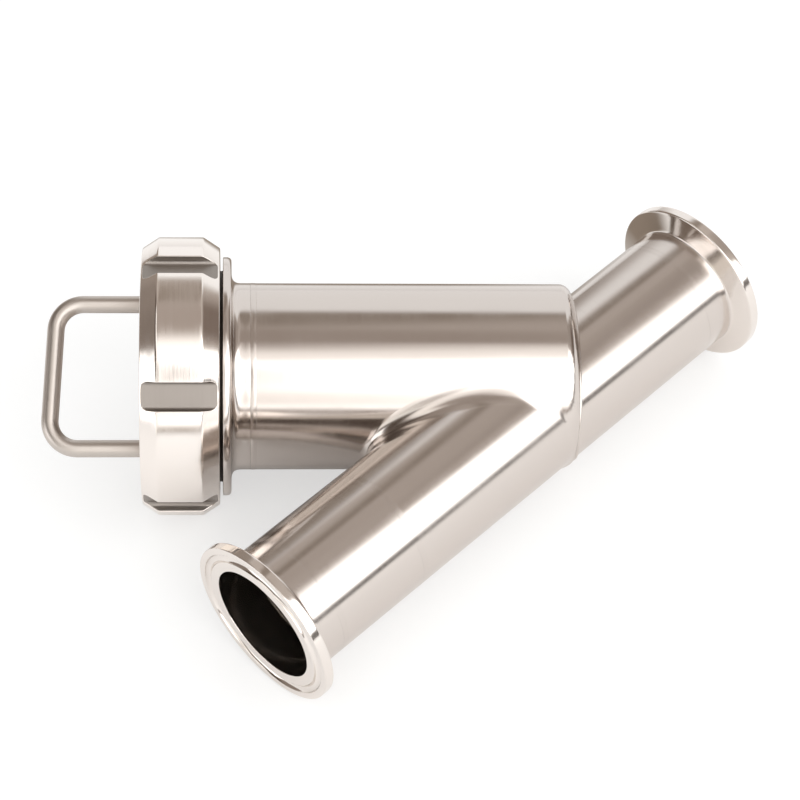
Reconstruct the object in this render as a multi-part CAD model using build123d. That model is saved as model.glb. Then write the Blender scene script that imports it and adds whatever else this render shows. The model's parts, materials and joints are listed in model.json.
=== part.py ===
from build123d import *
import math
import os

# Sanitary Y strainer with clamp ferrules on the run and a slotted union nut on the strainer leg.
#
# Frame: the origin is the centre of the outlet ferrule's face. +X runs along the run's axis to the
# inlet. +Z is up with the strainer lying on a table, its two ferrule rims and its union nut level,
# so the leg's plane is tipped about X by rest_tilt. The housing's belly reaches 1 mm lower beside
# the seam, and bears on the table too. Lengths are millimetres, angles degrees.
#
# The leg's pieces are drawn in a frame of their own, with its origin where the two axes cross, Z out
# along the leg and X square to it in the leg's plane, on the outlet's side. A "station" is a distance
# along that Z.

# ---- run ----
tube_od = 38.1              # 1 1/2 inch sanitary tube
tube_wall = 1.5
outlet_length = 123.0       # outlet face to the crossing of the axes
inlet_length = 54.3         # crossing of the axes to the inlet face
branch_angle = 42.5         # between the leg and the outlet

# ---- clamp ferrules ----
ferrule_od = 50.5
ferrule_length = 12.7
rim_width = 2.85
back_angle = 20.0           # slope of the clamped back face
groove_radius = 21.9        # centre of the gasket groove
groove_width = 2.6
groove_depth = 1.1
rim_rounding = 0.3
neck_fillet = 2.5

# ---- housing ----
housing_od = 54.0           # DN50 tube of the heavy series
housing_wall = 2.0
housing_length = 92.0       # crossing of the axes to the tube's sawn end
formed_length = 4.0         # stretch over which the end is pressed down to the inlet tube
outlet_collar = 78.0        # crossing of the axes to the end of the outlet collar drawn from the wall
collar_fillet = 1.6         # blend of the collar into the housing

# ---- welds ----
weld_width = 1.6            # root gap that a butt weld fills
weld_crown = 0.05           # how far the union's ground weld stands proud; the tube's are flush
weld_root = 0.1             # how far its root stands proud inside
seam_bead_radius = 0.55

# ---- threaded union ----
union_neck = 5.4            # weld to the collar's back face
cove_radius = 2.6
collar_step = 2.0           # thread's crest to the collar's edge
collar_width = 2.2
collar_rounding = 1.4
thread_height = 5.5         # housing's outside to the crest, Rd 65 x 1/6 inch on a DN50 tube
thread_relief = 2.0
union_front = 13.2          # collar's front face to the sealing face

# ---- gasket ----
gasket_land = 1.6           # union's bore to the gasket's recess
gasket_width = 3.2
gasket_thickness = 2.6
gasket_recess = 2.0

# ---- cover ----
cover_inset = 0.7           # thread's crest to the cover's edge
cover_thickness = 5.0
hub_step = 4.2              # cover's edge to the hub
hub_height = 2.5
spigot_length = 5.0
spigot_clearance = 0.3
register_length = 3.0       # boss that the screen is spot welded to
cover_chamfer = 0.6

# ---- union nut ----
nut_wall = 7.3              # bore to land
nut_width = 22.0
nut_chamfer = 4.75          # axial length of each conical chamfer
nut_face_share = 0.575      # how much of the nut's wall is left at its faces
nut_gap = 1.3               # collar's front face to the nut
thread_clearance = 0.4
lip_clearance = 0.1
opening_clearance = 0.6     # nut's opening round the cover's hub
slot_count = 6
slot_width = 8.3
slot_floor_share = 0.548    # how much of the wall is left under a slot
slot_rounding = 2.2
slot_phase = -14.2

# ---- handle ----
rod_diameter = 5.0
handle_width = 42.6         # between the legs' centre lines
handle_reach = 28.0         # cover's face to the grip's centre line
handle_skew = 1.1           # how much one leg is longer, and the other shorter
handle_bend = 8.0
handle_phase = -23.7        # from the leg frame's X to the longer leg
handle_weld = 1.6

# ---- screen ----
screen_od = 45.0
screen_wall = 1.0
screen_hole = 5.0
hole_columns = 12
hole_pitch = 9.6            # between rows along the screen
screen_margin = 9.0         # from either end to the first row's centre
mesh_thickness = 0.5
mesh_clearance = 0.05
seat_offset = 0.1           # seam bead to the seat
seat_width = 3.0
seat_bore_radius = 20.2
seat_gap = 0.3
end_ring_length = 5.0
end_ring_wall = 0.8
end_ring_lip = 2.0
end_ring_clearance = 0.05

# ---- worked out from the above ----
beta = math.radians(branch_angle)
tube_radius = tube_od / 2
bore_radius = tube_radius - tube_wall
housing_radius = housing_od / 2
housing_bore = housing_radius - housing_wall
rim_radius = ferrule_od / 2
thread_radius = housing_radius + thread_height
collar_radius = thread_radius + collar_step
gasket_inner_radius = housing_bore + gasket_land
gasket_outer_radius = gasket_inner_radius + gasket_width
cover_radius = thread_radius - cover_inset
hub_radius = cover_radius - hub_step
run_length = outlet_length + inlet_length

collar_back = housing_length + weld_width + union_neck
collar_front = collar_back + collar_width
sealing_face = collar_front + union_front
gasket_bottom = sealing_face - gasket_recess
cover_face = gasket_bottom + gasket_thickness
cover_back = cover_face + cover_thickness
hub_face = cover_back + hub_height
nut_inner_face = collar_front + nut_gap
nut_outer_face = nut_inner_face + nut_width
nut_land = nut_inner_face + nut_chamfer
nut_bore_radius = thread_radius + thread_clearance
nut_radius = nut_bore_radius + nut_wall
nut_face_radius = nut_bore_radius + nut_face_share * nut_wall
slot_floor_radius = nut_bore_radius + slot_floor_share * nut_wall


def resting_tilt():
    """The leg's tip about X that brings the nut's land level with both ferrule rims."""
    spread = nut_land ** 2 + nut_radius ** 2
    lift = rim_radius * nut_land
    rise = math.sqrt(lift ** 2 - spread * (rim_radius ** 2 - nut_radius ** 2)) - lift
    return math.asin(rise / spread / math.sin(beta))


rest_tilt = resting_tilt()
leg_axis = Vector(
    -math.cos(beta), math.sin(beta) * math.cos(rest_tilt), math.sin(beta) * math.sin(rest_tilt)
)
outlet_side = (Vector(-1, 0, 0) - leg_axis * math.cos(beta)) * (1 / math.sin(beta))
leg = Plane(origin=(outlet_length, 0, 0), x_dir=outlet_side, z_dir=leg_axis).location
outlet = Plane(origin=(0, 0, 0), x_dir=(0, 1, 0), z_dir=(1, 0, 0)).location
inlet = Plane(origin=(run_length, 0, 0), x_dir=(0, 1, 0), z_dir=(-1, 0, 0)).location


def turned(points, place):
    """A ring or disc turned about Z from its half section, then placed."""
    section = Plane.XZ * make_face(Polyline(*points, close=True))
    return place * revolve(section, Axis.Z)


def rod(radius, start, end):
    return Pos(0, 0, start) * extrude(Circle(radius), end - start)


def ring(inner, outer, start, end, place):
    return turned([(inner, start), (outer, start), (outer, end), (inner, end)], place)


def sharp_edges(shape, stations, radius):
    """Circular edges of a piece in its own frame at the given stations and radius."""
    found = []
    for edge in shape.edges().filter_by(GeomType.CIRCLE):
        at_station = any(abs(edge.arc_center.Z - station) < 0.01 for station in stations)
        if at_station and abs(edge.radius - radius) < 0.01:
            found.append(edge)
    return found


# ---- ferrules ----
def ferrule(place):
    slope = math.tan(math.radians(back_angle))
    back = rim_width + (rim_radius - tube_radius) * slope
    body = turned(
        [
            (bore_radius, 0),
            (rim_radius, 0),
            (rim_radius, rim_width),
            (tube_radius, back),
            (tube_radius, ferrule_length),
            (bore_radius, ferrule_length),
        ],
        Location(),
    )
    body = fillet(sharp_edges(body, [back], tube_radius), neck_fillet)
    body = fillet(sharp_edges(body, [0, rim_width], rim_radius), rim_rounding)
    half = groove_width / 2
    groove_arc = ThreePointArc(
        (groove_radius - half, 0), (groove_radius, groove_depth), (groove_radius + half, 0)
    )
    groove_chord = Line((groove_radius + half, 0), (groove_radius - half, 0))
    groove = revolve(Plane.XZ * make_face([groove_arc, groove_chord]), Axis.Z)
    return place * (body - groove)


# ---- housing ----
def pressed_end(inset):
    """Loft from the mitre ellipse at the inlet tube to the full round of the housing.

    inset is 0 for the outside and 1 for the inside of the wall. The sides swell as a quarter
    ellipse, which is the shape of a tube end pressed over a former.
    """
    small = tube_radius - inset * tube_wall
    full = housing_radius - inset * housing_wall
    sections = []
    steps = 4
    for step in range(steps + 1):
        turn = math.radians(90 * step / steps)
        across = small + (full - small) * math.sin(turn)
        along = small / math.cos(beta)
        along = along + (full - along) * math.sin(turn)
        station = formed_length * (1 - math.cos(turn))
        sections.append((Pos(0, 0, station) * Ellipse(along, across)).face())
    return loft(sections)


def run_rod(radius, start, end):
    """A rod on the run's axis, from start to end as distances from the outlet's face."""
    return outlet * rod(radius, start, end)


reach = 4 * housing_od
beyond_mitre = leg * Pos(0, 0, -reach / 2) * Box(reach, reach, reach)
before_mitre = leg * Pos(0, 0, reach / 2) * Box(reach, reach, reach)
collar_end = outlet_length - outlet_collar

housing_form = leg * (pressed_end(0) + rod(housing_radius, formed_length, housing_length))
housing_cavity = leg * (pressed_end(1) + rod(housing_bore, formed_length, housing_length))
collar_form = run_rod(tube_radius, collar_end, outlet_length) - beyond_mitre
outlet_passage = run_rod(bore_radius, collar_end, outlet_length) - beyond_mitre


def blended_outside():
    """The housing and its drawn collar, with the saddle line round the collar's root rounded."""
    joined = housing_form + collar_form
    saddle = []
    for edge in joined.edges().filter_by(GeomType.BSPLINE):
        station = (edge.center() - Vector(outlet_length, 0, 0)).dot(leg_axis)
        if station > formed_length + 1:
            saddle.append(edge)
    return fillet(saddle, collar_fillet)


seam_ellipse = Ellipse(tube_radius / math.cos(beta), tube_radius)
seam_bead = leg * sweep(
    Plane(origin=(tube_radius / math.cos(beta), 0, 0), z_dir=(0, 1, 0)) * Circle(seam_bead_radius),
    path=seam_ellipse.wire(),
)

housing_tube = blended_outside() - [housing_cavity, outlet_passage, seam_bead]
outlet_tube_start = ferrule_length + weld_width
outlet_tube = run_rod(tube_radius, outlet_tube_start, collar_end - weld_width)
outlet_tube -= run_rod(bore_radius, outlet_tube_start, collar_end - weld_width)
inlet_tube_end = run_length - ferrule_length - weld_width
inlet_tube = run_rod(tube_radius, outlet_length - tube_od, inlet_tube_end)
inlet_tube -= run_rod(bore_radius, outlet_length - tube_od, inlet_tube_end)
inlet_tube = inlet_tube - before_mitre - seam_bead


def butt_weld(radius, wall, start, place, crown=0):
    """A ground butt weld: a band the wall's thickness with a low crown, or none, and a low root."""
    middle = start + weld_width / 2
    end = start + weld_width
    bore = radius - wall
    outside = Line((radius, start), (radius, end))
    if crown:
        outside = ThreePointArc((radius, start), (radius + crown, middle), (radius, end))
    root = ThreePointArc((bore, end), (bore - weld_root, middle), (bore, start))
    sides = [Line((radius, end), (bore, end)), Line((bore, start), (radius, start))]
    return place * revolve(Plane.XZ * make_face([outside, root, *sides]), Axis.Z)


# ---- threaded union ----
def threaded_union():
    start = housing_length + weld_width
    root = thread_radius - thread_relief
    body = turned(
        [
            (housing_bore, start),
            (housing_radius, start),
            (housing_radius, collar_back - cove_radius),
            (housing_radius + cove_radius, collar_back),
            (collar_radius, collar_back),
            (collar_radius, collar_front),
            (root, collar_front),
            (root, collar_front + thread_relief),
            (thread_radius, collar_front + thread_relief),
            (thread_radius, sealing_face),
            (housing_bore, sealing_face),
        ],
        Location(),
    )
    body = fillet(sharp_edges(body, [collar_back], collar_radius), collar_rounding)
    recess = ring(
        gasket_inner_radius, gasket_outer_radius, gasket_bottom, sealing_face, Location()
    )
    return leg * (body - recess)


# ---- cover, which carries the screen ----
spigot_radius = housing_bore - spigot_clearance
screen_radius = screen_od / 2
screen_bore = screen_radius - screen_wall
seat_station = seam_bead_radius + seat_offset
screen_start = seat_station + seat_width + seat_gap + end_ring_lip
screen_end = cover_face - spigot_length
register_end = screen_end - register_length
end_ring_start = screen_start - end_ring_lip


def cover_plate():
    body = turned(
        [
            (0, register_end),
            (screen_bore, register_end),
            (screen_bore, screen_end),
            (spigot_radius, screen_end),
            (spigot_radius, cover_face),
            (cover_radius, cover_face),
            (cover_radius, cover_back),
            (hub_radius, cover_back),
            (hub_radius, hub_face),
            (0, hub_face),
        ],
        Location(),
    )
    body = chamfer(sharp_edges(body, [hub_face], hub_radius), cover_chamfer)
    return leg * body


handle_frame = leg * Location((0, 0, hub_face), (0, 0, handle_phase))


def handle():
    """One rod bent twice, with its ends butted on the cover's face."""
    side = handle_width / 2
    route = FilletPolyline(
        (side, 0, 0),
        (side, 0, handle_reach + handle_skew),
        (-side, 0, handle_reach - handle_skew),
        (-side, 0, 0),
        radius=handle_bend,
    )
    return handle_frame * sweep(Pos(side, 0, 0) * Circle(rod_diameter / 2), path=route)


def handle_welds():
    """Two fillet weld beads round the rod's feet."""
    foot = rod_diameter / 2
    bead = turned([(foot, 0), (foot + handle_weld, 0), (foot, handle_weld)], Location())
    side = handle_width / 2
    return handle_frame * Compound(children=[Pos(side, 0, 0) * bead, Pos(-side, 0, 0) * bead])


def screen_tube():
    body = rod(screen_radius, screen_start, screen_end) - rod(screen_bore, screen_start, screen_end)
    first = screen_start + screen_margin
    rows = int((screen_end - screen_margin - first) / hole_pitch) + 1
    holes = []
    for row in range(rows):
        for column in range(hole_columns):
            turn = (column + 0.5 * (row % 2)) * 360 / hole_columns
            hole = Location((0, 0, first + row * hole_pitch), (0, 0, turn))
            hole *= Location((screen_bore - screen_wall, 0, 0), (0, 90, 0))
            holes.append(hole * extrude(Circle(screen_hole / 2), 3 * screen_wall))
    return leg * (body - holes)


mesh_radius = screen_bore - mesh_clearance
screen_mesh = ring(mesh_radius - mesh_thickness, mesh_radius, screen_start, register_end, leg)


def screen_end_ring():
    """The turned ring at the screen's open end, with a step that the tube stands in."""
    step_radius = screen_radius + end_ring_clearance
    outer = step_radius + end_ring_wall
    return turned(
        [
            (seat_bore_radius, end_ring_start),
            (outer, end_ring_start),
            (outer, end_ring_start + end_ring_length),
            (step_radius, end_ring_start + end_ring_length),
            (step_radius, screen_start),
            (seat_bore_radius, screen_start),
        ],
        leg,
    )


# The seat fills the pressed end's cavity, so nothing passes round the screen's open end.
seat_blank = ring(
    seat_bore_radius, housing_radius, seat_station, seat_station + seat_width, leg
)
screen_seat = seat_blank & housing_cavity


# ---- union nut ----
def union_nut():
    lip = cover_back + lip_clearance
    opening = hub_radius + opening_clearance
    body = turned(
        [
            (nut_bore_radius, nut_inner_face),
            (nut_face_radius, nut_inner_face),
            (nut_radius, nut_land),
            (nut_radius, nut_outer_face - nut_chamfer),
            (nut_face_radius, nut_outer_face),
            (opening, nut_outer_face),
            (opening, lip),
            (nut_bore_radius, lip),
        ],
        Location(),
    )
    depth = nut_radius - slot_floor_radius
    section = Rectangle(2 * depth, slot_width)
    section = fillet(section.vertices().group_by(Axis.X)[0], slot_rounding)
    slot = Pos(slot_floor_radius + depth, 0, nut_inner_face) * extrude(section, nut_width)
    for index in range(slot_count):
        body -= Rot(0, 0, slot_phase + index * 360 / slot_count) * slot
    return leg * body


pieces = {
    "housing_tube": housing_tube,
    "inlet_seam_weld": seam_bead,
    "inlet_tube": inlet_tube,
    "inlet_ferrule_weld": butt_weld(tube_radius, tube_wall, ferrule_length, inlet),
    "inlet_ferrule": ferrule(inlet),
    "outlet_tube": outlet_tube,
    "outlet_collar_weld": butt_weld(tube_radius, tube_wall, collar_end - weld_width, outlet),
    "outlet_ferrule_weld": butt_weld(tube_radius, tube_wall, ferrule_length, outlet),
    "outlet_ferrule": ferrule(outlet),
    "union_weld": butt_weld(housing_radius, housing_wall, housing_length, leg, weld_crown),
    "threaded_union": threaded_union(),
    "union_gasket": ring(
        gasket_inner_radius, gasket_outer_radius, gasket_bottom, cover_face, leg
    ),
    "screen_seat": screen_seat,
    "cover_plate": cover_plate(),
    "handle": handle(),
    "handle_welds": handle_welds(),
    "screen_tube": screen_tube(),
    "screen_mesh": screen_mesh,
    "screen_end_ring": screen_end_ring(),
    "union_nut": union_nut(),
}

os.makedirs("parts", exist_ok=True)
for name, piece in pieces.items():
    piece.label = name
    export_step(piece, f"parts/{name}.step")
print(f"{len(pieces)} pieces, leg tipped {math.degrees(rest_tilt):.2f} degrees")
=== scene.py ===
import json
import math

import bpy
import numpy as np
from mathutils import Euler, Matrix, Vector


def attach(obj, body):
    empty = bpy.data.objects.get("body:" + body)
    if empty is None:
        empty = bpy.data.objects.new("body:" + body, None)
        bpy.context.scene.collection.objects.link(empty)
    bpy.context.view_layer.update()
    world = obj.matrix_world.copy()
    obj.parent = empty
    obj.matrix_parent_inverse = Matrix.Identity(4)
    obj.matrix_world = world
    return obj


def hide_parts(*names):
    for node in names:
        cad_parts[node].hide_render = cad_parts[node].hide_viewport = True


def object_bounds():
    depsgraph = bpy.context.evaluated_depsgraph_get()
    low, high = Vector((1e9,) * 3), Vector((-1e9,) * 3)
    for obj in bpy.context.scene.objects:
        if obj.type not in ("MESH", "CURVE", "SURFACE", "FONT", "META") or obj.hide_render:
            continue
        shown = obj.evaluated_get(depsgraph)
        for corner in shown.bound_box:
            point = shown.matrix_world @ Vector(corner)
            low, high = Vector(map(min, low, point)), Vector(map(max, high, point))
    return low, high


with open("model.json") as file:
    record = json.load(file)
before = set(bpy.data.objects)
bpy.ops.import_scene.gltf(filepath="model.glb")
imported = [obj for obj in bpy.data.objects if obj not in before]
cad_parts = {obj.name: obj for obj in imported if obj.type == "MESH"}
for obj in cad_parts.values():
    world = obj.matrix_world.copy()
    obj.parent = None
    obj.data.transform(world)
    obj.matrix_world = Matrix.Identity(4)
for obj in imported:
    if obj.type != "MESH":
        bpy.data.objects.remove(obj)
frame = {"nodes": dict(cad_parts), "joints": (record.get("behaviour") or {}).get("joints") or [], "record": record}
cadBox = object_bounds()
nodes = frame["nodes"]
mm = 0.001

# where things are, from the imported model
joints = {joint["name"]: joint for joint in frame["joints"]}
legAxis = Vector(joints["core_pull"]["axis"]).normalized()
runAxis = Vector((1, 0, 0))
nutPivot = Vector(joints["nut_turn"]["pos_m"])
crossing = nutPivot - legAxis * (nutPivot.y / legAxis.y)  # where the leg's axis meets the run's
cosBeta = -legAxis.x                                      # beta is the angle between leg and outlet
sinBeta = math.sqrt(1 - cosBeta ** 2)
outletSide = (-runAxis - legAxis * cosBeta) / sinBeta     # square to the leg, towards the outlet
legAcross = legAxis.cross(outletSide)
legFrame = np.array([outletSide, legAcross, legAxis])
floorZ = cadBox[0].z
print("frame read, leg", round(math.degrees(math.acos(cosBeta)), 2), "degrees from the outlet")


def hexToLinear(code):
    # sRGB hex to the linear RGBA that the nodes take
    parts = [int(code[i:i + 2], 16) / 255 for i in (1, 3, 5)]
    linear = [c / 12.92 if c <= 0.04045 else ((c + 0.055) / 1.055) ** 2.4 for c in parts]
    return (*linear, 1.0)


def addNode(tree, kind, settings=None, links=None):
    # settings holds properties by name and input values by "in:Name"; links holds for an input
    # a socket, a node whose first output is meant, or a number that becomes the input's value
    node = tree.nodes.new(kind)
    for key, value in (settings or {}).items():
        if key.startswith("in:"):
            slot = key[3:]
            node.inputs[int(slot) if slot.isdigit() else slot].default_value = value
        else:
            setattr(node, key, value)
    for key, source in (links or {}).items():
        if isinstance(source, (int, float)):
            node.inputs[key].default_value = source
        else:
            socket = source.outputs[0] if isinstance(source, bpy.types.Node) else source
            tree.links.new(socket, node.inputs[key])
    return node


def newTree(holder):
    # an empty node tree on a material or a world
    holder.use_nodes = True
    holder.node_tree.nodes.clear()
    return holder.node_tree


def fromLeg(points):
    # leg coordinates in mm (outlet side, across, along the leg) to metres in the frame
    return np.array(crossing) + np.asarray(points) * mm @ legFrame


def gridMesh(name, grids, closeRows, closeColumns, caps=False):
    # a grid of points (rows, columns, 3), or a stack of equal ones, as quads; a closed direction
    # joins its last line to its first, and caps fills first and last row with a fan of triangles
    grids = grids.reshape(-1, *grids.shape[-3:])
    count, rows, columns = grids.shape[:3]
    index = np.arange(rows * columns).reshape(rows, columns)
    if closeRows:
        index = np.vstack([index, index[:1]])
    if closeColumns:
        index = np.hstack([index, index[:, :1]])
    quads = np.stack([index[:-1, :-1], index[:-1, 1:], index[1:, 1:], index[1:, :-1]], axis=-1)
    faces = quads.reshape(-1, 4).tolist()
    vertices = grids.reshape(count, -1, 3)
    if caps:
        middles = grids[:, [0, -1]].mean(axis=2)
        vertices = np.concatenate([vertices, middles], axis=1)
        first, last = rows * columns, rows * columns + 1
        faces += [[first, b, a] for a, b in zip(index[0, :-1].tolist(), index[0, 1:].tolist())]
        faces += [[last, a, b] for a, b in zip(index[-1, :-1].tolist(), index[-1, 1:].tolist())]
    size = vertices.shape[1]
    everyFace = [[corner + grid * size for corner in face] for grid in range(count) for face in faces]
    return meshObject(name, vertices.reshape(-1, 3), everyFace)


def meshObject(name, vertices, faces):
    # a smooth mesh with its points in metres where they belong
    mesh = bpy.data.meshes.new(name)
    mesh.from_pydata(np.asarray(vertices).tolist(), [], faces)
    mesh.validate()
    mesh.shade_smooth()
    piece = bpy.data.objects.new(name, mesh)
    bpy.context.scene.collection.objects.link(piece)
    return piece


def sharpen(piece, degrees):
    # edges steeper than this stay crisp under smooth shading
    piece.data.set_sharp_from_angle(angle=math.radians(degrees))


def roundedLine(corners, radii, steps=5):
    # a polyline whose corners become arcs of about the given radius (0 keeps a corner):
    # each arc is a quadratic curve between points set back by the radius along both sides
    line = []
    for i, (corner, radius) in enumerate(zip(corners, radii)):
        corner = np.array(corner, float)
        if radius == 0:
            line.append(corner)
            continue
        before = np.array(corners[i - 1], float) - corner
        after = np.array(corners[(i + 1) % len(corners)], float) - corner
        start = corner + before / np.linalg.norm(before) * radius
        end = corner + after / np.linalg.norm(after) * radius
        t = np.linspace(0, 1, steps)[:, None]
        line.extend((1 - t) ** 2 * start + 2 * t * (1 - t) * corner + t ** 2 * end)
    return np.array(line)


def smoothStep(value, low, high):
    # 0 below low and 1 above high, along 3t^2 - 2t^3 between them
    t = np.clip((value - low) / (high - low), 0, 1)
    return t * t * (3 - 2 * t)


def dividedLine(line, step):
    # the same polyline with points added so that no stretch is longer than step, which is one
    # length for all of them or one for each
    parts = []
    for start, end, longest in zip(line[:-1], line[1:], np.broadcast_to(step, len(line) - 1)):
        count = max(1, math.ceil(np.linalg.norm(end - start) / longest))
        parts.append(start + (end - start) * (np.arange(count) / count)[:, None])
    return np.concatenate([*parts, line[-1:]])


def roundThread(station, turn, pitch):
    # 1 on the crest and 0 in the root of a round thread that climbs one pitch in each turn
    return 0.5 + 0.5 * np.cos(2 * np.pi * station / pitch - turn)


camera = {"lens": 116.93, "sensor": 36.0, "distance": 0.760, "azimuth": -39.06, "elevation": 46.30,
          "roll": -7.45, "lookAt": (0.0836, 0.0314, 0.0)}


def makeCamera(view):
    # it looks at lookAt from distance metres off, azimuth degrees round from -Y and elevation
    # degrees up, and rolls about its own line of sight
    data = bpy.data.cameras.new("camera")
    data.lens, data.sensor_width = view["lens"], view["sensor"]
    data.clip_start, data.clip_end = 0.01, 20.0
    holder = bpy.data.objects.new("camera", data)
    bpy.context.scene.collection.objects.link(holder)
    turn, rise = math.radians(view["azimuth"]), math.radians(view["elevation"])
    back = Vector((math.sin(turn) * math.cos(rise), -math.cos(turn) * math.cos(rise), math.sin(rise)))
    holder.location = Vector(view["lookAt"]) + back * view["distance"]
    level = (-back).to_track_quat("-Z", "Y")
    holder.rotation_mode = "QUATERNION"
    holder.rotation_quaternion = level @ Euler((0, 0, math.radians(view["roll"]))).to_quaternion()
    bpy.context.scene.camera = holder


makeCamera(camera)

# What polished steel mirrors: lights and walls all round, as patches of the sky in degrees.
# Azimuth 0 is +X and 90 is +Y, low and high are elevations, lean is how much a patch's half
# width shrinks per degree of height, and a later patch lies over an earlier one.
studio = {
    "ceiling": (0.42, 0.36, 0.32),
    "patches": [
        {"name": "upperWall", "azimuth": 2, "half": 58, "low": -20, "high": 71, "soft": 4,
         "colour": (0.57, 0.51, 0.465)},
        {"name": "ceilingEdge", "azimuth": 33, "half": 9, "low": 40, "high": 72, "soft": 5,
         "colour": (0.31, 0.26, 0.22)},
        {"name": "cornerWall", "azimuth": 72, "half": 16, "low": -90, "high": 46, "soft": 4,
         "colour": (0.33, 0.28, 0.24)},
        {"name": "backdrop", "azimuth": 27, "half": 30, "low": -90, "high": 46, "soft": 4,
         "colour": (1.06, 1.06, 1.06)},
        {"name": "windowGlow", "azimuth": -112, "half": 42, "low": 56, "high": 76, "soft": 7, "lean": -0.8,
         "colour": (1.38, 1.34, 1.30)},
        {"name": "windowSide", "azimuth": -146, "half": 14, "low": 2, "high": 52, "soft": 4,
         "colour": (0.95, 0.92, 0.87)},
        {"name": "window", "azimuth": -89, "half": 46, "low": 6, "high": 63, "soft": 3, "lean": 0.28,
         "colour": (2.6, 2.6, 2.6)},
        {"name": "windowShade", "azimuth": -134, "half": 11, "low": 9, "high": 28, "soft": 7,
         "colour": (1.30, 1.25, 1.20)},
        {"name": "gap", "azimuth": -22, "half": 20, "low": -60, "high": 58, "soft": 5,
         "colour": (0.44, 0.385, 0.345)},
        {"name": "gapFoot", "azimuth": -26, "half": 14, "low": -60, "high": 30, "soft": 8,
         "colour": (0.20, 0.155, 0.13)},
        {"name": "horizon", "azimuth": -76, "half": 32, "low": -20, "high": 7.5, "soft": 2,
         "colour": (0.22, 0.205, 0.195)},
        {"name": "sideWall", "azimuth": 142, "half": 54, "low": -90, "high": 60, "soft": 7,
         "colour": (0.27, 0.225, 0.195)},
        {"name": "sideWallTop", "azimuth": 146, "half": 55, "low": 38, "high": 61, "soft": 6,
         "colour": (0.09, 0.065, 0.05)},
        {"name": "sideWallEnd", "azimuth": 186, "half": 11, "low": 16, "high": 62, "soft": 5,
         "colour": (0.10, 0.07, 0.05)},
        {"name": "farSill", "azimuth": 184, "half": 12, "low": -3, "high": 13, "soft": 3,
         "colour": (1.30, 1.28, 1.22)},
        {"name": "sideWindow", "azimuth": 205, "half": 7, "low": -14, "high": 60, "soft": 4,
         "colour": (1.35, 1.33, 1.28)},
        {"name": "farWindow", "azimuth": 161, "half": 21, "low": -2, "high": 32, "soft": 2,
         "colour": (1.9, 1.9, 1.9)},
        {"name": "strip", "azimuth": 152, "half": 56, "low": 63, "high": 78, "soft": 2.5,
         "colour": (1.5, 1.46, 1.40)},
    ],
    "skyLevel": 0.9,                # light on plain colours, from every side
    "floorHalf": 6.0,
    "floorColour": "#f7f6f5",
    "floorGlow": 0.06,
    "seenColour": "#bcbcbb",
    "seenGlow": 0.54,
    "paintedShadeAt": (0.125, 0.115),       # painted shade on the floor behind the run, seen in the steel alone
    "paintedShadeRadius": 0.085,
    "paintedShadeSoft": 0.03,
    "paintedShadeColour": "#978b7f",
    "lampPower": 6.0,
    "lampSize": 0.9,
    "lampDistance": 1.2,
    "lampAzimuth": -95,
    "lampElevation": 38,
}


def softEdge(tree, offset, half, soft):
    # 1 where offset lies within half and 0 beyond it, over a smooth edge
    distance = addNode(tree, "ShaderNodeMath", {"operation": "ABSOLUTE"}, {0: offset})
    past = addNode(tree, "ShaderNodeMath", {"operation": "SUBTRACT"}, {0: distance, 1: half})
    return addNode(tree, "ShaderNodeMapRange",
                   {"interpolation_type": "SMOOTHSTEP", "in:From Min": -soft, "in:From Max": soft,
                    "in:To Min": 1.0, "in:To Max": 0.0}, {"Value": past})


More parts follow.
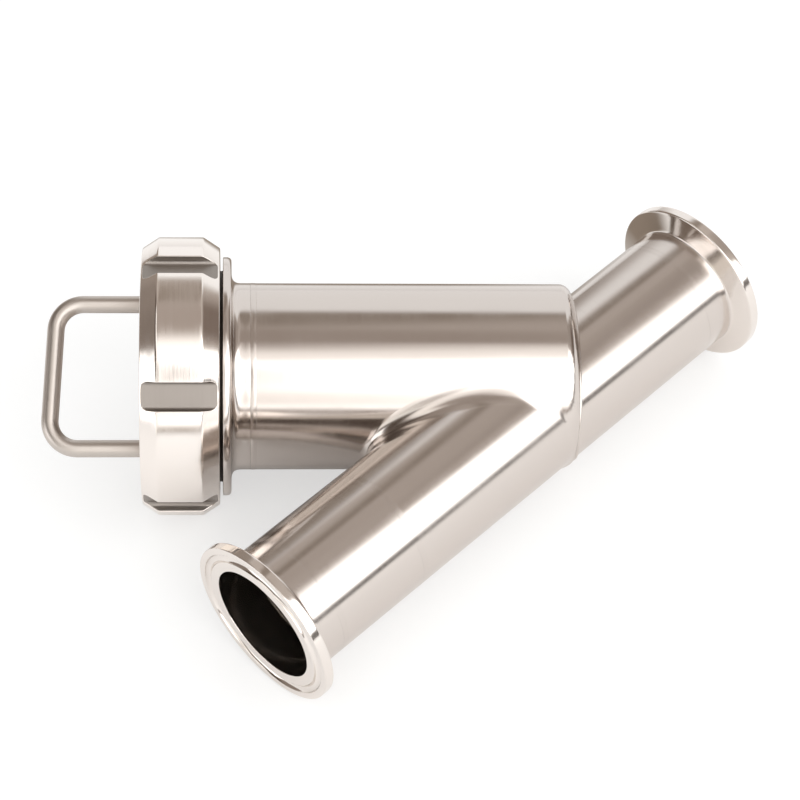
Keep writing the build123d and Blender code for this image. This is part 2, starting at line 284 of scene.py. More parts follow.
def makeWorld(look):
    # the studio's patches are seen by reflections alone: plain colours get an even light, and
    # whatever looks straight at the sky sees white
    world = bpy.data.worlds.new("studio")
    bpy.context.scene.world = world
    tree = newTree(world)
    direction = addNode(tree, "ShaderNodeTexCoord").outputs["Generated"]
    axes = addNode(tree, "ShaderNodeSeparateXYZ", links={"Vector": direction}).outputs
    bearing = addNode(tree, "ShaderNodeMath", {"operation": "ARCTAN2"}, {0: axes["Y"], 1: axes["X"]})
    azimuth = addNode(tree, "ShaderNodeMath", {"operation": "DEGREES"}, {0: bearing})
    climb = addNode(tree, "ShaderNodeMath", {"operation": "ARCSINE"}, {0: axes["Z"]})
    elevation = addNode(tree, "ShaderNodeMath", {"operation": "DEGREES"}, {0: climb})
    seen = addNode(tree, "ShaderNodeRGB").outputs[0]
    seen.default_value = (*look["ceiling"], 1)
    for patch in look["patches"]:
        turned = addNode(tree, "ShaderNodeMath", {"operation": "SUBTRACT"},
                         {0: azimuth, 1: patch["azimuth"]})
        wrapped = addNode(tree, "ShaderNodeMath", {"operation": "WRAP"}, {0: turned, 1: 180, 2: -180})
        lean = patch.get("lean", 0)
        half = addNode(tree, "ShaderNodeMath", {"operation": "MULTIPLY_ADD"},
                       {0: elevation, 1: -lean, 2: patch["half"] + lean * patch["low"]})
        across = softEdge(tree, wrapped, half, patch["soft"])
        middle = (patch["low"] + patch["high"]) / 2
        risen = addNode(tree, "ShaderNodeMath", {"operation": "SUBTRACT"}, {0: elevation, 1: middle})
        upDown = softEdge(tree, risen, patch["high"] - middle, patch["soft"])
        mask = addNode(tree, "ShaderNodeMath", {"operation": "MULTIPLY"}, {0: across, 1: upDown})
        seen = addNode(tree, "ShaderNodeMix", {"data_type": "RGBA", "in:7": (*patch["colour"], 1)},
                       {0: mask, 6: seen}).outputs[2]
    white = addNode(tree, "ShaderNodeBackground", {"in:Color": (1, 1, 1, 1), "in:Strength": 1.0})
    plain = addNode(tree, "ShaderNodeBackground",
                    {"in:Color": (1, 1, 1, 1), "in:Strength": look["skyLevel"]})
    mirrored = addNode(tree, "ShaderNodeBackground", {"in:Strength": 1.0}, {"Color": seen})
    rays = addNode(tree, "ShaderNodeLightPath").outputs
    level = addNode(tree, "ShaderNodeMixShader", links={0: rays["Is Glossy Ray"], 1: plain, 2: mirrored})
    straight = addNode(tree, "ShaderNodeMath", {"operation": "MAXIMUM"},
                       {0: rays["Is Camera Ray"], 1: rays["Is Transmission Ray"]})
    mixed = addNode(tree, "ShaderNodeMixShader", links={0: straight, 1: level, 2: white})
    addNode(tree, "ShaderNodeOutputWorld", links={"Surface": mixed})


def makeFloor(look):
    # a pale sweep: it takes the object's shadow, and seen directly a glow lifts it to white.
    # A patch of painted shade behind the run, where the object's shadow falls, shows in the steel alone as a
    # darker reflection
    material = bpy.data.materials.new("paleFloor")
    tree = newTree(material)
    sides = []
    for colour, glow in ((look["floorColour"], look["floorGlow"]), (look["seenColour"], look["seenGlow"])):
        paint = addNode(tree, "ShaderNodeBsdfDiffuse", {"in:Color": hexToLinear(colour)})
        light = addNode(tree, "ShaderNodeEmission", {"in:Color": (1, 1, 1, 1), "in:Strength": glow})
        sides.append(addNode(tree, "ShaderNodeAddShader", links={0: paint, 1: light}))
    place = addNode(tree, "ShaderNodeTexCoord").outputs["Object"]
    away = addNode(tree, "ShaderNodeVectorMath",
                   {"operation": "DISTANCE", "in:1": (*look["paintedShadeAt"], floorZ)}, {0: place})
    beyond = addNode(tree, "ShaderNodeMapRange",
                     {"in:From Min": look["paintedShadeRadius"] - look["paintedShadeSoft"],
                      "in:From Max": look["paintedShadeRadius"] + look["paintedShadeSoft"]},
                     {"Value": away.outputs["Value"]})
    # painted shade: a darker floor patch behind the run that only reflections see, standing in for the object's
    # shadow there
    paintedShade = addNode(tree, "ShaderNodeBsdfDiffuse", {"in:Color": hexToLinear(look["paintedShadeColour"])})
    mirrored = addNode(tree, "ShaderNodeMixShader", links={0: beyond, 1: paintedShade, 2: sides[0]})
    rays = addNode(tree, "ShaderNodeLightPath").outputs
    mixed = addNode(tree, "ShaderNodeMixShader",
                    links={0: rays["Is Camera Ray"], 1: mirrored, 2: sides[1]})
    addNode(tree, "ShaderNodeOutputMaterial", links={"Surface": mixed})
    half = look["floorHalf"]
    corners = [(-half, -half, floorZ), (half, -half, floorZ), (half, half, floorZ), (-half, half, floorZ)]
    floor = meshObject("floor", corners, [[0, 1, 2, 3]])
    floor.data.materials.append(material)


def makeLamp(look):
    # one large soft square light, which only shades and casts the shadow
    data = bpy.data.lights.new("softbox", "AREA")
    data.energy, data.size = look["lampPower"], look["lampSize"]
    lamp = bpy.data.objects.new("softbox", data)
    bpy.context.scene.collection.objects.link(lamp)
    turn, rise = math.radians(look["lampAzimuth"]), math.radians(look["lampElevation"])
    towards = Vector((math.cos(turn) * math.cos(rise), math.sin(turn) * math.cos(rise), math.sin(rise)))
    lamp.location = (cadBox[0] + cadBox[1]) / 2 + towards * look["lampDistance"]
    lamp.rotation_mode = "QUATERNION"
    lamp.rotation_quaternion = (-towards).to_track_quat("-Z", "Y")
    lamp.visible_glossy = False     # steel mirrors the studio's patches instead


makeWorld(studio)
makeFloor(studio)
makeLamp(studio)
bpy.context.scene.view_settings.view_transform = "Standard"
print("camera and studio made")


lineStretch = 0.06      # how much slower the finishing lines change round the axis than across it
patchesPerMm = 0.09
brushShare = 0.4        # of the roughness's variation that follows the lines; patches give the rest

# Stainless steel 304 is a grey metal with a faintly warm cast. What tells one piece from another
# is how it was finished: the belt or the lathe leaves fine lines round the axis, which smear a
# reflection along it, and polishing takes them away again. brushMm is the lines' spacing.
steelFinishes = {
    "satin_tube": {"name": "satinTube", "colour": "#d2cac4", "roughness": 0.17, "vary": 0.06,
                   "anisotropic": 0.55, "brushMm": 0.35, "brushDepth": 0.002, "edgeMm": 0.15},
    "ground_weld": {"name": "groundWeld", "colour": "#d1c9c3", "roughness": 0.175, "vary": 0.06,
                    "anisotropic": 0.55, "brushMm": 0.35, "brushDepth": 0.002, "edgeMm": 0},
    "polished_ferrule": {"name": "polishedFerrule", "colour": "#e8e1db", "roughness": 0.10,
                         "vary": 0.04, "anisotropic": 0.3, "brushMm": 0.3, "brushDepth": 0.0008,
                         "edgeMm": 0.25},
    "turned_steel": {"name": "turnedSteel", "colour": "#d4ccc6", "roughness": 0.15, "vary": 0.05,
                     "anisotropic": 0.4, "brushMm": 0.3, "brushDepth": 0.0012, "edgeMm": 0.2},
    "nut_steel": {"name": "machinedNut", "colour": "#f1eae4", "roughness": 0.14, "vary": 0.12,
                  "anisotropic": 0.3, "brushMm": 0.4, "brushDepth": 0.0025, "edgeMm": 0},
    "rod_steel": {"name": "drawnRod", "colour": "#c6beb7", "roughness": 0.38, "vary": 0.06,
                  "anisotropic": 0.0, "brushMm": 0.6, "brushDepth": 0.003, "edgeMm": 0.1},
    "rod_weld": {"name": "tigBead", "colour": "#c2b8ae", "roughness": 0.28, "vary": 0.08,
                 "anisotropic": 0.0, "brushMm": 0.6, "brushDepth": 0.004, "edgeMm": 0.1},
    "perforated_sheet": {"name": "perforatedSheet", "colour": "#d2cbc5", "roughness": 0.2,
                         "vary": 0.05, "anisotropic": 0.3, "brushMm": 0.4, "brushDepth": 0.0015,
                         "edgeMm": 0.12},
    "wire_mesh": {"name": "wovenWire", "colour": "#c9c3bc", "roughness": 0.25, "vary": 0.05,
                  "anisotropic": 0.0, "brushMm": 0.4, "brushDepth": 0.001, "edgeMm": 0},
    # not slots of their own: a slot's floor and walls as the milling cutter left them, and painted
    # shade for the union's relief groove, near black for the shade in the narrow gap under the nut
    "milled_slot": {"name": "milledSlot", "colour": "#9b948e", "roughness": 0.40, "vary": 0.12,
                    "anisotropic": 0.0, "brushMm": 0.5, "brushDepth": 0.008, "edgeMm": 0},
    "groove_bottom": {"name": "paintedGrooveShade", "colour": "#4a4541", "roughness": 0.5, "vary": 0.1,
                      "anisotropic": 0.0, "brushMm": 0.4, "brushDepth": 0.003, "edgeMm": 0},
}


def makeSteel(finish, axis, suffix):
    # a metal whose roughness and bump follow lines round the axis and soft patches over them
    material = bpy.data.materials.new(finish["name"] + suffix)
    tree = newTree(material)
    # object coordinates in mm, turned so that Z runs along the piece's axis
    across = axis.orthogonal().normalized()
    toPiece = Matrix((across, axis.cross(across), axis))
    place = addNode(tree, "ShaderNodeTexCoord").outputs["Object"]
    local = addNode(tree, "ShaderNodeMapping",
                    {"in:Rotation": toPiece.to_euler(), "in:Location": -(toPiece @ crossing)},
                    {"Vector": place})
    inMm = addNode(tree, "ShaderNodeVectorMath", {"operation": "SCALE", "in:Scale": 1 / mm}, {0: local})
    # the lines run round the axis, so their noise changes fast with height on a wall and with
    # distance from the axis on an end face, and slowly round both
    parts = addNode(tree, "ShaderNodeSeparateXYZ", links={"Vector": inMm}).outputs
    flat = addNode(tree, "ShaderNodeCombineXYZ", links={0: parts["X"], 1: parts["Y"]})
    away = addNode(tree, "ShaderNodeVectorMath", {"operation": "LENGTH"}, {0: flat}).outputs["Value"]
    reach = addNode(tree, "ShaderNodeMath", {"operation": "ADD"}, {0: parts["Z"], 1: away})
    lineAt = addNode(tree, "ShaderNodeMath", {"operation": "DIVIDE"}, {0: reach, 1: finish["brushMm"]})
    slowly = addNode(tree, "ShaderNodeVectorMath", {"operation": "SCALE", "in:Scale": lineStretch},
                     {0: flat})
    slowParts = addNode(tree, "ShaderNodeSeparateXYZ", links={"Vector": slowly}).outputs
    squeezed = addNode(tree, "ShaderNodeCombineXYZ",
                       links={0: slowParts["X"], 1: slowParts["Y"], 2: lineAt})
    brush = addNode(tree, "ShaderNodeTexNoise", {"in:Scale": 1.0, "in:Detail": 2.0, "in:Roughness": 0.6},
                    {"Vector": squeezed})
    # hand finishing leaves patches a centimetre or so across
    cloud = addNode(tree, "ShaderNodeTexNoise", {"in:Scale": patchesPerMm, "in:Detail": 3.0},
                    {"Vector": inMm})
    patches = addNode(tree, "ShaderNodeMath", {"operation": "MULTIPLY"}, {0: cloud, 1: 1 - brushShare})
    wear = addNode(tree, "ShaderNodeMath", {"operation": "MULTIPLY_ADD"},
                   {0: brush, 1: brushShare, 2: patches})
    low, high = finish["roughness"] - finish["vary"] / 2, finish["roughness"] + finish["vary"] / 2
    tone = addNode(tree, "ShaderNodeMapRange", {"in:From Min": 0.35, "in:From Max": 0.65,
                                                "in:To Min": low, "in:To Max": high}, {"Value": wear})
    bump = addNode(tree, "ShaderNodeBump",
                   {"in:Strength": 1.0, "in:Distance": finish["brushDepth"] * mm}, {"Height": brush})
    if finish["edgeMm"]:
        # a machined or ground edge is never quite sharp
        edge = addNode(tree, "ShaderNodeBevel", {"samples": 4, "in:Radius": finish["edgeMm"] * mm})
        tree.links.new(edge.outputs[0], bump.inputs["Normal"])
    shader = addNode(tree, "ShaderNodeBsdfPrincipled",
                     {"in:Base Color": hexToLinear(finish["colour"]), "in:Metallic": 1.0,
                      "in:Anisotropic": finish["anisotropic"]}, {"Roughness": tone, "Normal": bump})
    if finish["anisotropic"]:
        along = addNode(tree, "ShaderNodeVectorTransform",
                        {"vector_type": "VECTOR", "convert_from": "OBJECT", "convert_to": "WORLD",
                         "in:Vector": axis})
        tree.links.new(along.outputs[0], shader.inputs["Tangent"])
    addNode(tree, "ShaderNodeOutputMaterial", links={"Surface": shader})
    return material


# moulded black food-grade rubber: matt, with a slight greasy sheen
rubber = {"name": "mouldedRubber", "colour": "#2a2927", "roughness": 0.62, "grainMm": 0.25,
          "grainDepth": 0.02}


def makeRubber():
    material = bpy.data.materials.new(rubber["name"])
    tree = newTree(material)
    place = addNode(tree, "ShaderNodeTexCoord").outputs["Object"]
    grain = addNode(tree, "ShaderNodeTexNoise", {"in:Scale": 1 / (rubber["grainMm"] * mm)},
                    {"Vector": place})
    bump = addNode(tree, "ShaderNodeBump", {"in:Distance": rubber["grainDepth"] * mm}, {"Height": grain})
    shader = addNode(tree, "ShaderNodeBsdfPrincipled",
                     {"in:Base Color": hexToLinear(rubber["colour"]), "in:Roughness": rubber["roughness"]},
                     {"Normal": bump})
    addNode(tree, "ShaderNodeOutputMaterial", links={"Surface": shader})
    return material


runNodes = {"outlet_ferrule", "inlet_ferrule", "outlet_tube", "inlet_tube", "outlet_ferrule_weld",
            "inlet_ferrule_weld", "outlet_collar_weld"}
slotOf = {part["node"]: part["material_slot"] for part in frame["record"]["subparts"]}
madeMaterials = {}


def materialFor(slot, onRun=False):
    # each finish is made once for the pieces round the leg's axis and once for those round the run's
    key = slot, onRun
    if key not in madeMaterials:
        if slot == "gasket_rubber":
            madeMaterials[key] = makeRubber()
        else:
            axis, suffix = (runAxis, "OnRun") if onRun else (legAxis, "OnLeg")
            madeMaterials[key] = makeSteel(steelFinishes[slot], axis, suffix)
    return madeMaterials[key]


def paintFaces(piece, finishKey, rows, columns, onRun=False):
    # a second finish on part of a closed grid: rows and columns are true for the grid's lines that
    # belong to it, and a face is painted where all its four lines do
    piece.data.materials.append(materialFor(finishKey, onRun))
    painted = np.outer(rows & np.roll(rows, -1), columns & np.roll(columns, -1))
    piece.data.polygons.foreach_set("material_index", painted.ravel().astype(np.int32))


def dress(piece, body, slot, *replaced, onRun=False):
    # one call for a finished piece: its material, its body, and the solids it stands for
    piece.data.materials.clear()
    piece.data.materials.append(materialFor(slot, onRun))
    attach(piece, body)
    if replaced:
        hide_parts(*replaced)


for name, node in nodes.items():
    node.data.materials.clear()
    node.data.materials.append(materialFor(slotOf[name], name in runNodes))
print("finishes on", len(nodes), "solids,", len(madeMaterials), "materials")

# The collar was welded to the housing and the weld ground back to a hollow: tight in the crotch,
# wide where the two tubes meet at a shallow angle. It is laid over the solid's own small blend.
saddle = {"housingRadius": 27.0, "tubeRadius": 19.05, "legLength": 4.8, "leastRadius": 1.75,
          "fadeFrom": 108, "fadeTo": 141, "proud": 0.012, "sunk": 0.45, "crispOver": 50,
          "rows": 260, "arcSteps": 17}


def saddleBlend(size):
    # turn goes round the outlet's axis from the crotch. A ball of radius r(turn) rests on both
    # tubes, so its centre is housingRadius + r from one axis and tubeRadius + r from the other;
    # the surface is the ball's arc between its two contacts, and the wall behind is sunk in steel
    turn = np.radians(np.linspace(-size["fadeTo"], size["fadeTo"], size["rows"]))
    big, small = size["housingRadius"], size["tubeRadius"]
    height = small * np.sin(turn)
    reach = np.sqrt(big ** 2 - height ** 2)
    facing = (-np.cos(turn) * cosBeta * reach + np.sin(turn) * height) / big
    between = np.arccos(np.clip(facing, -1, 1))
    radius = size["legLength"] / np.tan(between / 2)
    fade = smoothStep(np.abs(np.degrees(turn)), size["fadeFrom"], size["fadeTo"])
    radius = np.maximum(radius, size["leastRadius"]) * (1 - fade) + size["leastRadius"] * fade
    centreHeight = (small + radius) * np.sin(turn)
    centreOut = np.sqrt((big + radius) ** 2 - centreHeight ** 2)
    centreAlong = ((small + radius) * np.cos(turn) + centreOut * cosBeta) / sinBeta
    centre = np.stack([centreOut, centreHeight, centreAlong], axis=-1)
    toHousing = -np.stack([centreOut, centreHeight, 0 * centreOut], axis=-1) / (big + radius)[:, None]
    run = np.array([sinBeta, 0, cosBeta])
    toRun = (centre @ run)[:, None] * run - centre
    toRun /= np.linalg.norm(toRun, axis=1, keepdims=True)
    share = np.linspace(0, 1, size["arcSteps"])[None, :, None]
    sweep = np.arccos(np.clip((toHousing * toRun).sum(axis=1), -1, 1))[:, None, None]
    arc = (np.sin((1 - share) * sweep) * toHousing[:, None] + np.sin(share * sweep) * toRun[:, None])
    arc /= np.sin(sweep)
    front = centre[:, None] + (radius[:, None, None] - size["proud"]) * arc
    back = centre[:, None] + (radius[:, None, None] + size["sunk"]) * arc[:, ::-1]
    return fromLeg(np.concatenate([front, back], axis=1))


blend = gridMesh("saddle_blend", saddleBlend(saddle), False, True, caps=True)
sharpen(blend, saddle["crispOver"])
dress(blend, "housing", "ground_weld")
print("saddle blend made")

# One turned piece, drawn as its section: a cove up to the collar, a relief, the round thread
# with six turns to the inch, and a recess for the gasket in its end face.
threadPitch = 25.4 / 6
union = {"bore": 25.0, "neck": 27.0, "back": 93.6, "backEdge": 0.1, "cove": 2.6,
         "collarBack": 99.0, "collarFront": 101.45, "collar": 34.5, "collarBackEdge": 1.4,
         "collarFrontEdge": 0.3, "root": 30.5, "crest": 32.5, "relief": 1.75, "reliefCorner": 0.4,
         "runOut": 1.5, "end": 114.4, "leadIn": 1.3, "recess": 2.0, "recessInner": 26.6,
         "recessOuter": 29.8, "recessEdge": 0.2, "longest": 2.5, "longestInBore": 4.0,
         "crispOver": 38, "threadRows": 66, "columns": 288}


def unionSurface(size):
    # a section turned round the leg's axis. On the thread's rows the radius also depends on the
    # turn: root + depth * (0.5 + 0.5 cos(2 pi height / pitch - turn)), kept under the lead-in's cone
    threadStart = size["collarFront"] + size["relief"]
    front = roundedLine([(size["bore"], size["back"]), (size["neck"], size["back"]),
                         (size["neck"], size["collarBack"]), (size["collar"], size["collarBack"]),
                         (size["collar"], size["collarFront"]), (size["root"], size["collarFront"]),
                         (size["root"], threadStart)],
                        [0, size["backEdge"], size["cove"], size["collarBackEdge"],
                         size["collarFrontEdge"], size["reliefCorner"], 0], steps=7)
    bottom = size["end"] - size["recess"]
    end = roundedLine([(size["recessOuter"], size["end"]), (size["recessOuter"], bottom),
                       (size["recessInner"], bottom), (size["recessInner"], size["end"]),
                       (size["bore"], size["end"])], [0] + 4 * [size["recessEdge"]], steps=4)
    bore = dividedLine(np.array([end[-1], front[0]]), size["longestInBore"])[1:-1]
    station = np.linspace(threadStart, size["end"], size["threadRows"])
    thread = np.stack([np.full_like(station, size["root"]), station], axis=-1)
    front = dividedLine(front, size["longest"])[:-1]
    section = np.concatenate([front, thread, end, bore])
    turn = np.linspace(0, 2 * np.pi, size["columns"], endpoint=False)
    radius = np.repeat(section[:, :1], len(turn), axis=1)
    # the thread rises out of the relief and is turned down again where the nut starts
    height = station[:, None]
    rise = smoothStep(height, threadStart, threadStart + size["runOut"])
    depth = (size["crest"] - size["root"]) * rise * roundThread(height, turn, threadPitch)
    limit = size["crest"] - np.maximum(0, height - (size["end"] - size["leadIn"]))
    radius[len(front):len(front) + len(thread)] = np.minimum(size["root"] + depth, limit)
    along = np.repeat(section[:, 1:], len(turn), axis=1)
    fromReliefMiddle = abs(section[:, 1] - threadStart + size["relief"] / 2)
    inRelief = (section[:, 0] < size["crest"]) & (fromReliefMiddle < size["relief"] / 2 + 0.01)
    return fromLeg(np.stack([radius * np.cos(turn), radius * np.sin(turn), along], axis=-1)), inRelief


surface, inRelief = unionSurface(union)
unionPiece = gridMesh("union_ferrule", surface, True, True)
sharpen(unionPiece, union["crispOver"])
dress(unionPiece, "housing", "turned_steel", "threaded_union")
# painted shade: the relief groove, down in the narrow gap between collar and nut, is coloured near black
paintFaces(unionPiece, "groove_bottom", inRelief, np.full(surface.shape[1], True))
print("threaded union made")

# A slotted round nut: a land between two conical chamfers, six slots for a hook spanner that run
# out through the chamfers, a lip that draws the cover down, and the thread's other half inside.
nut = {"inner": 102.3, "outer": 124.5, "chamfer": 4.75, "land": 40.2, "landEdge": 0.35,
       "face": 37.1, "faceEdge": 0.3, "opening": 28.2, "openingEdge": 0.4, "lip": 120.1,
       "lipEdge": 0.15, "undercut": 34.8, "undercutWidth": 1.6, "undercutEdge": 0.2, "bore": 32.8,
       "threadDepth": 1.9, "entry": 1.6, "runOut": 2.0, "slots": 6, "slotWidth": 8.0,
       "slotFloor": 37.35, "slotRounding": 1.2, "slotPhase": -13.9, "slotEdge": 0.28,
       "slotPoints": 16, "landPoints": 13, "longest": 0.8, "longestOnChamfer": 0.16,
       "threadStep": 0.25, "crispOver": 42}


def slotRow(radius, size):
    # half a slot and half a land at this radius, as (out, aside): along the slot's floor, round
    # its corner and up its wall to where the circle cuts it, over the edge, then along the circle.
    # A slot so shallow that the edges would meet gets a smaller edge and a shorter floor
    bend = size["slotRounding"]
    flat = size["slotWidth"] / 2 - bend
    corner = np.radians(np.linspace(0, 90, 40))
    out = np.concatenate([[size["slotFloor"]], size["slotFloor"] + bend * (1 - np.cos(corner)),
                          [size["land"] + 1]])
    aside = np.concatenate([[0], flat + bend * np.sin(corner), [flat + bend]])
    length = np.concatenate([[0], np.cumsum(np.hypot(np.diff(out), np.diff(aside)))])
    far = np.linspace(0, length[-1], 2000)      # fine enough to read off where the circle cuts
    away = np.hypot(np.interp(far, length, out), np.interp(far, length, aside))
    met = np.interp(radius, away, far)
    edge = min(size["slotEdge"], 0.3 * met)
    onFloor = np.linspace(0, min(flat, 0.5 * met), 4)
    steps = np.concatenate([onFloor, np.linspace(onFloor[-1], met - edge, size["slotPoints"] - 3)[1:]])
    slot = np.stack([np.interp(steps, length, out), np.interp(steps, length, aside)], axis=-1)
    tip = np.array([np.interp(met, length, out), np.interp(met, length, aside)])
    tipTurn = math.atan2(tip[1], tip[0])
    turns = np.linspace(tipTurn + edge / radius, math.pi / size["slots"], size["landPoints"])
    land = radius * np.stack([np.cos(turns), np.sin(turns)], axis=-1)
    t = np.array([0.25, 0.5, 0.75])[:, None]
    over = (1 - t) ** 2 * slot[-1] + 2 * t * (1 - t) * tip + t ** 2 * land[0]
    return np.concatenate([slot, over, land])


def nutSurface(size):
    # a section along the leg gives each ring of points its radius and height, slotRow gives the
    # ring its outline, and inside the radius grows by the thread's depth
    hollow = size["undercut"]
    threadEnd = size["lip"] - size["undercutWidth"]
    corners = [(hollow, size["inner"]), (size["face"], size["inner"]),
               (size["land"], size["inner"] + size["chamfer"]),
               (size["land"], size["outer"] - size["chamfer"]), (size["face"], size["outer"]),
               (size["opening"], size["outer"]), (size["opening"], size["lip"]),
               (hollow, size["lip"]), (hollow, threadEnd)]
    outside = roundedLine(corners, [0, size["faceEdge"], size["landEdge"], size["landEdge"],
                                    size["faceEdge"], size["openingEdge"], size["lipEdge"],
                                    size["undercutEdge"], 0])
    # a slot's ends show on the chamfers, so those are divided finely
    sloping = abs(np.diff(outside[:, 0]) * np.diff(outside[:, 1])) > 0.5
    outside = dividedLine(outside, np.where(sloping, size["longestOnChamfer"], size["longest"]))
    count = math.ceil((threadEnd - size["inner"]) / size["threadStep"])
    station = np.linspace(threadEnd, size["inner"], count + 1)[1:-1]
    inside = np.stack([np.full_like(station, size["bore"]), station], axis=-1)
    section = np.concatenate([outside, inside])
    shallow = size["slotFloor"] + 0.02
    grid = []
    for number, (radius, height) in enumerate(section):
        half = slotRow(max(radius, shallow), size)
        if radius < shallow:      # inside the slots' floor the nut is round
            turns = np.arctan2(half[:, 1], half[:, 0])[:, None]
            half = min(radius, size["slotFloor"]) * np.hstack([np.cos(turns), np.sin(turns)])
        whole = np.concatenate([half[-2:0:-1] * (1, -1), half])
        ring = []
        for slot in range(size["slots"]):
            turn = math.radians(size["slotPhase"] + slot * 360 / size["slots"])
            ring.append(whole @ np.array([[math.cos(turn), math.sin(turn)],
                                          [-math.sin(turn), math.cos(turn)]]))
        ring = np.concatenate(ring)
        if number >= len(outside):
            # thread cut outwards from the bore, and opened out to a cone where the union enters
            turn = np.arctan2(ring[:, 1], ring[:, 0])
            groove = size["threadDepth"] * roundThread(height + threadPitch / 2, turn, threadPitch)
            groove *= smoothStep(height, size["inner"], size["inner"] + size["runOut"])
            cone = (hollow - size["bore"]) * (1 - (height - size["inner"]) / size["entry"])
            ring *= (1 + np.maximum(groove, cone) / size["bore"])[:, None]
        grid.append(np.column_stack([ring, np.full(len(ring), height)]))
    # a ring's points are counted outwards from each slot's middle, and the nearest are the slot's
    fromMiddle = abs(np.arange(1 - len(half), len(half) - 1) + 0.5) - 0.5
    inSlot = np.tile(fromMiddle < size["slotPoints"], size["slots"])
    return fromLeg(np.array(grid)), section[:, 0] >= shallow, inSlot


surface, slotRows, slotColumns = nutSurface(nut)
nutPiece = gridMesh("slotted_nut", surface, True, True)
sharpen(nutPiece, nut["crispOver"])
dress(nutPiece, "nut", "nut_steel", "union_nut")
paintFaces(nutPiece, "milled_slot", slotRows, slotColumns)
print("union nut made")

# Clamp ferrules in the 3-A pattern: a flat face with a round groove for the seal, a rim, a 20
# degree back slope for the clamp, and a neck that is ground to the tube's satin.
ferrule = {"bore": 17.55, "rim": 25.25, "rimWidth": 2.85, "neck": 19.05, "neckStart": 5.107,
           "length": 12.7, "groove": 21.9, "grooveWidth": 2.6, "grooveDepth": 1.1,
           "grooveEdge": 0.09, "grooveSteps": 15, "boreEdge": 0.25, "rimEdge": 0.3,
           "backEdge": 0.35, "neckFillet": 0.6, "longest": 0.7, "crispOver": 40, "columns": 192}
# where each face lies on the run, and which way its tube goes from there
ferruleFaces = {"outlet": (0, 1), "inlet": (177.3, -1)}


def ferruleSurface(size, face, inward):
    # a section turned round the run's axis; its groove is the arc through two edges and a bottom,
    # so the arc's radius is (half^2 + depth^2) / (2 depth)
    half, depth = size["grooveWidth"] / 2, size["grooveDepth"]
    bend = (half ** 2 + depth ** 2) / (2 * depth)
    sweep = math.asin(half / bend) * np.linspace(-1, 1, size["grooveSteps"])
    groove = np.column_stack([size["groove"] + bend * np.sin(sweep), bend * (np.cos(sweep) - 1) + depth])
    corners = [(size["bore"], 0), *groove, (size["rim"], 0), (size["rim"], size["rimWidth"]),
               (size["neck"], size["neckStart"]), (size["neck"], size["length"]),
               (size["bore"], size["length"])]
    radii = [size["boreEdge"], size["grooveEdge"], *[0] * (size["grooveSteps"] - 2),
             size["grooveEdge"], size["rimEdge"], size["backEdge"], size["neckFillet"], 0, 0]
    section = roundedLine(corners, radii, steps=9)
    section = dividedLine(np.vstack([section, section[:1]]), size["longest"])[:-1]
    turn = np.linspace(0, 2 * np.pi, size["columns"], endpoint=False)
    out = section[:, :1]
    place = np.stack([face + inward * np.repeat(section[:, 1:], len(turn), axis=1),
                      out * np.cos(turn), inward * out * np.sin(turn)], axis=-1)
    atNeck = (section[:, 0] > size["neck"] - 0.01) & (section[:, 0] < size["neck"] + 0.3)
    return place * mm, atNeck & (section[:, 1] > size["rimWidth"])


for end, (face, inward) in ferruleFaces.items():
    surface, onNeck = ferruleSurface(ferrule, face, inward)
    ferrulePiece = gridMesh("clamp_ferrule_" + end, surface, True, True)
    sharpen(ferrulePiece, ferrule["crispOver"])
    dress(ferrulePiece, "housing", "polished_ferrule", end + "_ferrule", onRun=True)
    paintFaces(ferrulePiece, "satin_tube", onNeck, np.full(surface.shape[1], True), onRun=True)
print("ferrules made")

# Plain weave wire cloth rolled inside the perforated tube: each wire passes over one and under
# the next, and the wires that go round have the opposite sway to those that run along.
weave = {"radius": 21.2, "wire": 0.13, "sway": 0.11, "start": 5.95, "end": 107.0,
         "along": 68, "around": 50}


def weaveWires(size):
    # square wires round a path whose radius is radius +- sway * cos(pi * (crossing + number))
    sides = np.radians([0, 90, 180, 270])
    # lengthwise: angle is fixed, height runs
    step = (size["end"] - size["start"]) / (size["around"] + 1)
    crossings = np.arange(0, size["around"] + 1.01, 0.5)
    height = size["start"] + crossings * step
    number = np.arange(size["along"])
    middle = size["radius"] + size["sway"] * np.cos(np.pi * (crossings[None] + number[:, None]))
    turn = (2 * np.pi * number / size["along"])[:, None, None]
    out = middle[:, :, None] + size["wire"] * np.cos(sides)
    aside = size["wire"] * np.sin(sides)
    lengthwise = np.stack([out * np.cos(turn) - aside * np.sin(turn),
                           out * np.sin(turn) + aside * np.cos(turn),
                           np.broadcast_to(height[None, :, None], out.shape)], axis=-1)
    # round: height is fixed, angle runs
    places = np.arange(0, size["along"], 0.5)
    ringNumber = np.arange(1, size["around"] + 1)
    middle = size["radius"] - size["sway"] * np.cos(np.pi * (places[None] + ringNumber[:, None]))
    turn = (2 * np.pi * places / size["along"])[None, :, None]
    out = middle[:, :, None] + size["wire"] * np.cos(sides)
    level = (size["start"] + ringNumber * step)[:, None, None] - size["wire"] * np.sin(sides)
    crosswise = np.stack([out * np.cos(turn), out * np.sin(turn),
                          np.broadcast_to(level, out.shape)], axis=-1)
    return fromLeg(lengthwise), fromLeg(crosswise)


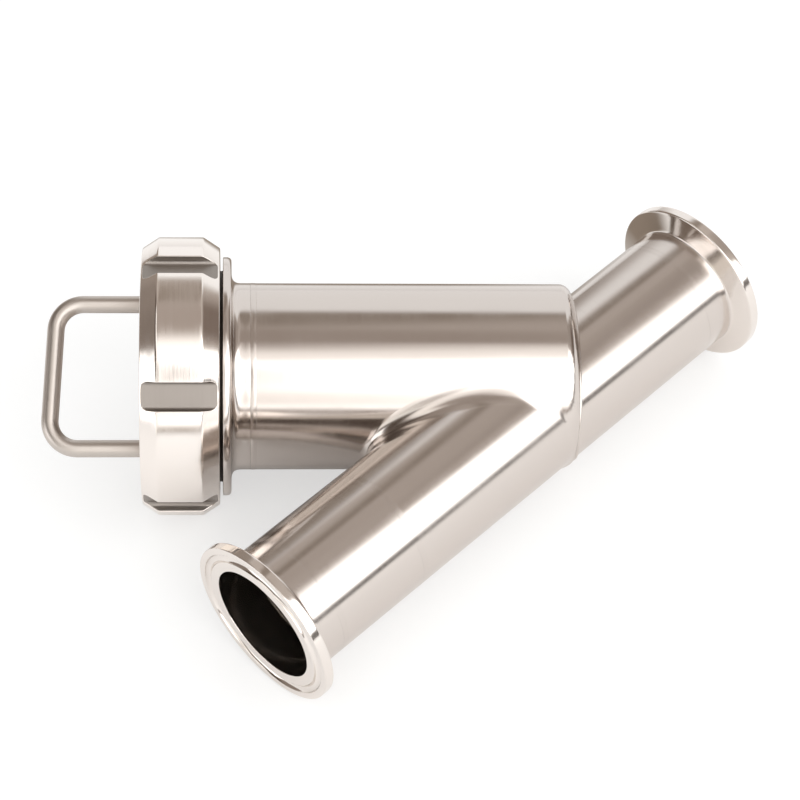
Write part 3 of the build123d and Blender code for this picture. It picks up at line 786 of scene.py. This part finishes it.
lengthwise, crosswise = weaveWires(weave)
warp = gridMesh("mesh_warp", lengthwise, False, True, caps=True)
weft = gridMesh("mesh_weft", crosswise, True, True)
dress(warp, "core", "wire_mesh", "screen_mesh")
dress(weft, "core", "wire_mesh")
print("wire cloth made")

# Each foot of the rod is welded round by hand, which leaves overlapping ripples in the bead.
bead = {"rod": 2.5, "width": 1.6, "height": 1.6, "bulge": 0.35, "ripples": 15, "ripple": 0.13,
        "lag": 1.6, "sunk": 0.15, "station": 122.5, "side": 21.3, "phase": -23.7,
        "crispOver": 60, "rows": 13, "columns": 180}


def beadGrid(size, side):
    # a fillet's face from the cover up to the rod, swollen along its normal by a bulge and the
    # ripples, and closed by three rows sunk in rod and cover
    share = np.linspace(0, 1, size["rows"])[:, None]
    turn = np.linspace(0, 2 * np.pi, size["columns"], endpoint=False)[None]
    # ripples are crescents: a saw wave round the rod, whose phase lags towards both toes
    phase = size["ripples"] * turn / (2 * np.pi) + size["lag"] * (share - 0.5) ** 2
    wave = (phase % 1) ** 1.5 * smoothStep(1 - phase % 1, 0, 0.15)
    swell = size["bulge"] * np.sin(np.pi * share) + size["ripple"] * wave * np.sin(np.pi * share) ** 0.7
    out = size["rod"] + size["width"] * (1 - share) + swell * math.sqrt(0.5)
    up = size["height"] * share + swell * math.sqrt(0.5)
    within = size["rod"] - size["sunk"]
    under = np.array([[within, size["height"]], [within, -size["sunk"]],
                      [size["rod"] + size["width"], -size["sunk"]]])[:, :, None]
    out = np.concatenate([out, np.broadcast_to(under[:, 0], (3, turn.size))])
    up = np.concatenate([up, np.broadcast_to(under[:, 1], (3, turn.size))])
    place = math.radians(size["phase"])
    x, y = side * size["side"] + out * np.cos(turn), out * np.sin(turn)
    return fromLeg(np.stack([x * math.cos(place) - y * math.sin(place),
                             x * math.sin(place) + y * math.cos(place),
                             size["station"] + up], axis=-1))


beads = gridMesh("foot_beads", np.stack([beadGrid(bead, 1), beadGrid(bead, -1)]), True, True)
sharpen(beads, bead["crispOver"])
dress(beads, "core", "rod_weld", "handle_welds")
print("beads made")
